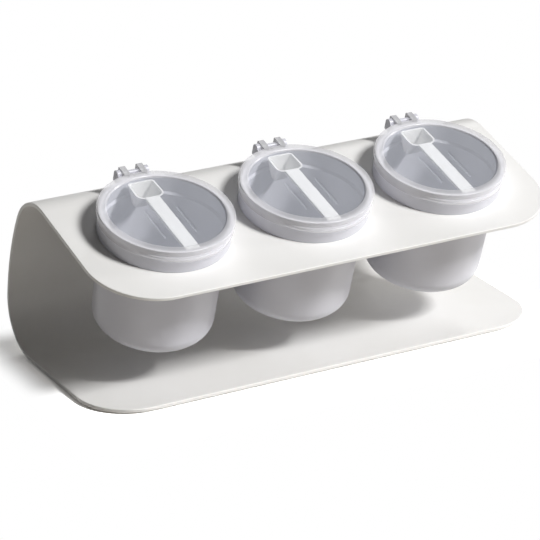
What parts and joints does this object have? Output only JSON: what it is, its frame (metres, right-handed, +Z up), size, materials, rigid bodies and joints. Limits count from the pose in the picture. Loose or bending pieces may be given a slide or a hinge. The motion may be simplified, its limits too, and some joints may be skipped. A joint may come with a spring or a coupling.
{
  "type": "seasoning box",
  "caption": "Bent sheet stand with a sloping deck that holds a row of hinge-lidded seasoning cups, each lid with a spoon clipped under it.",
  "frame": {"origin": "centre of the bounding box at the underside of the foot pads", "axes": "+X along the row of cups to the right as seen from the front, +Y to the back wall of the stand, +Z up"},
  "size_m": [0.31, 0.1528, 0.1249],
  "materials": {
    "powder_coat": "white powder coat, fine satin",
    "foot_rubber": "matt grey",
    "cup_plastic": "moulded light grey polypropylene, satin",
    "lid_plastic": "translucent frosted polypropylene",
    "spoon_plastic": "moulded opaque white polypropylene"
  },
  "bodies": {
    "stand": {"stand": "powder_coat", "foot_pad_front_left": "foot_rubber", "foot_pad_front_right": "foot_rubber", "foot_pad_back_left": "foot_rubber", "foot_pad_back_right": "foot_rubber"},
    "cup_left": {"cup_left": "cup_plastic"},
    "lid_left": {"lid_left": "lid_plastic"},
    "spoon_left": {"spoon_left": "spoon_plastic"},
    "cup_middle": {"cup_middle": "cup_plastic"},
    "lid_middle": {"lid_middle": "lid_plastic"},
    "spoon_middle": {"spoon_middle": "spoon_plastic"},
    "cup_right": {"cup_right": "cup_plastic"},
    "lid_right": {"lid_right": "lid_plastic"},
    "spoon_right": {"spoon_right": "spoon_plastic"}
  },
  "joints": [
    {"name": "cup_left_lift", "type": "slide", "parent": "stand", "child": "cup_left", "axis": [0, -0.2698, 0.9629], "range_m": [0, 0.078]},
    {"name": "lid_left_hinge", "type": "hinge", "parent": "cup_left", "child": "lid_left", "pos_m": [-0.095, 0.02136, 0.12083], "axis": [-1, 0, 0], "range_deg": [0, 110]},
    {"name": "spoon_left_unclip", "type": "slide", "parent": "lid_left", "child": "spoon_left", "axis": [0, 0.2698, -0.9629], "range_m": [0, 0.014]},
    {"name": "cup_middle_lift", "type": "slide", "parent": "stand", "child": "cup_middle", "axis": [0, -0.2698, 0.9629], "range_m": [0, 0.078]},
    {"name": "lid_middle_hinge", "type": "hinge", "parent": "cup_middle", "child": "lid_middle", "pos_m": [0, 0.02136, 0.12083], "axis": [-1, 0, 0], "range_deg": [0, 110]},
    {"name": "spoon_middle_unclip", "type": "slide", "parent": "lid_middle", "child": "spoon_middle", "axis": [0, 0.2698, -0.9629], "range_m": [0, 0.014]},
    {"name": "cup_right_lift", "type": "slide", "parent": "stand", "child": "cup_right", "axis": [0, -0.2698, 0.9629], "range_m": [0, 0.078]},
    {"name": "lid_right_hinge", "type": "hinge", "parent": "cup_right", "child": "lid_right", "pos_m": [0.095, 0.02136, 0.12083], "axis": [-1, 0, 0], "range_deg": [0, 110]},
    {"name": "spoon_right_unclip", "type": "slide", "parent": "lid_right", "child": "spoon_right", "axis": [0, 0.2698, -0.9629], "range_m": [0, 0.014]}
  ]
}
